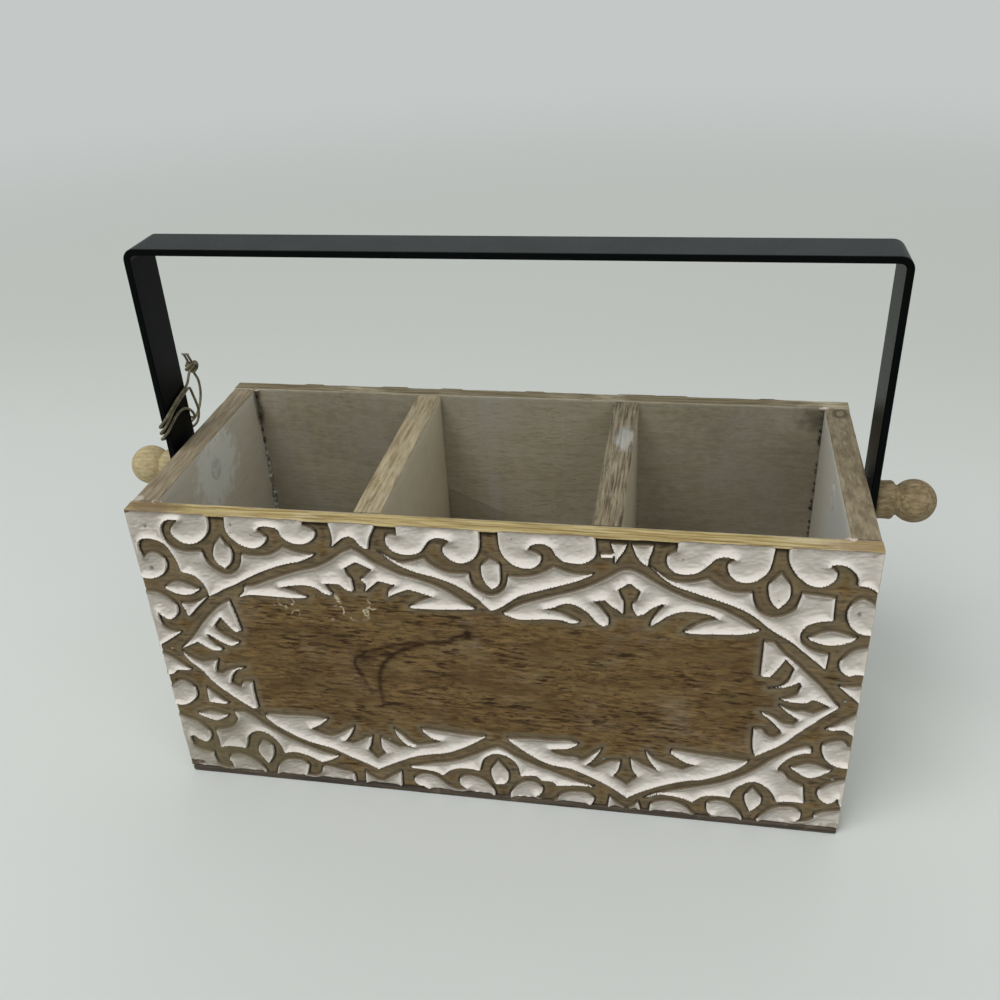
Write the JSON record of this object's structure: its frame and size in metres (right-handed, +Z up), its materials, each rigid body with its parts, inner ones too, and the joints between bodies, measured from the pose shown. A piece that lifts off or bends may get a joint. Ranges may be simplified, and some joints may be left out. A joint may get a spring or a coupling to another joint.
{
  "type": "silverware caddy",
  "caption": "Open wooden box with flatware compartments, carved whitewashed faces and a swinging black strap handle on turned knobs.",
  "frame": {"origin": "middle of the underside, on the surface that the caddy stands on", "axes": "+X along the box to the right as seen from the carved front, +Y from the front to the back, +Z up"},
  "size_m": [0.3678, 0.13, 0.2445],
  "materials": {
    "carved_wood": "carved in relief, raised parts whitewashed, cut ground stained brown",
    "plain_wood": "grey-brown wash over sawn wood",
    "base_wood": "dark stained",
    "raw_wood": "turned and unfinished",
    "black_strap": "satin black",
    "screw_steel": "plain steel",
    "twine": "grey-olive twisted twine"
  },
  "bodies": {
    "box": {"front_panel": "carved_wood", "back_panel": "carved_wood", "left_side": "plain_wood", "right_side": "plain_wood", "base_board": "base_wood", "left_divider": "plain_wood", "right_divider": "plain_wood", "left_knob": "raw_wood", "right_knob": "raw_wood", "left_screw": "screw_steel", "right_screw": "screw_steel", "left_washer": "screw_steel", "right_washer": "screw_steel", "corner_pins": "screw_steel", "divider_pins": "screw_steel", "base_pins": "screw_steel"},
    "handle": {"handle": "black_strap", "tag_string": "twine", "string_knot": "twine"}
  },
  "joints": [
    {"name": "handle_swing", "type": "hinge", "parent": "box", "child": "handle", "pos_m": [0, 0, 0.1351], "axis": [1, 0, 0], "range_deg": [-135, 135]}
  ]
}
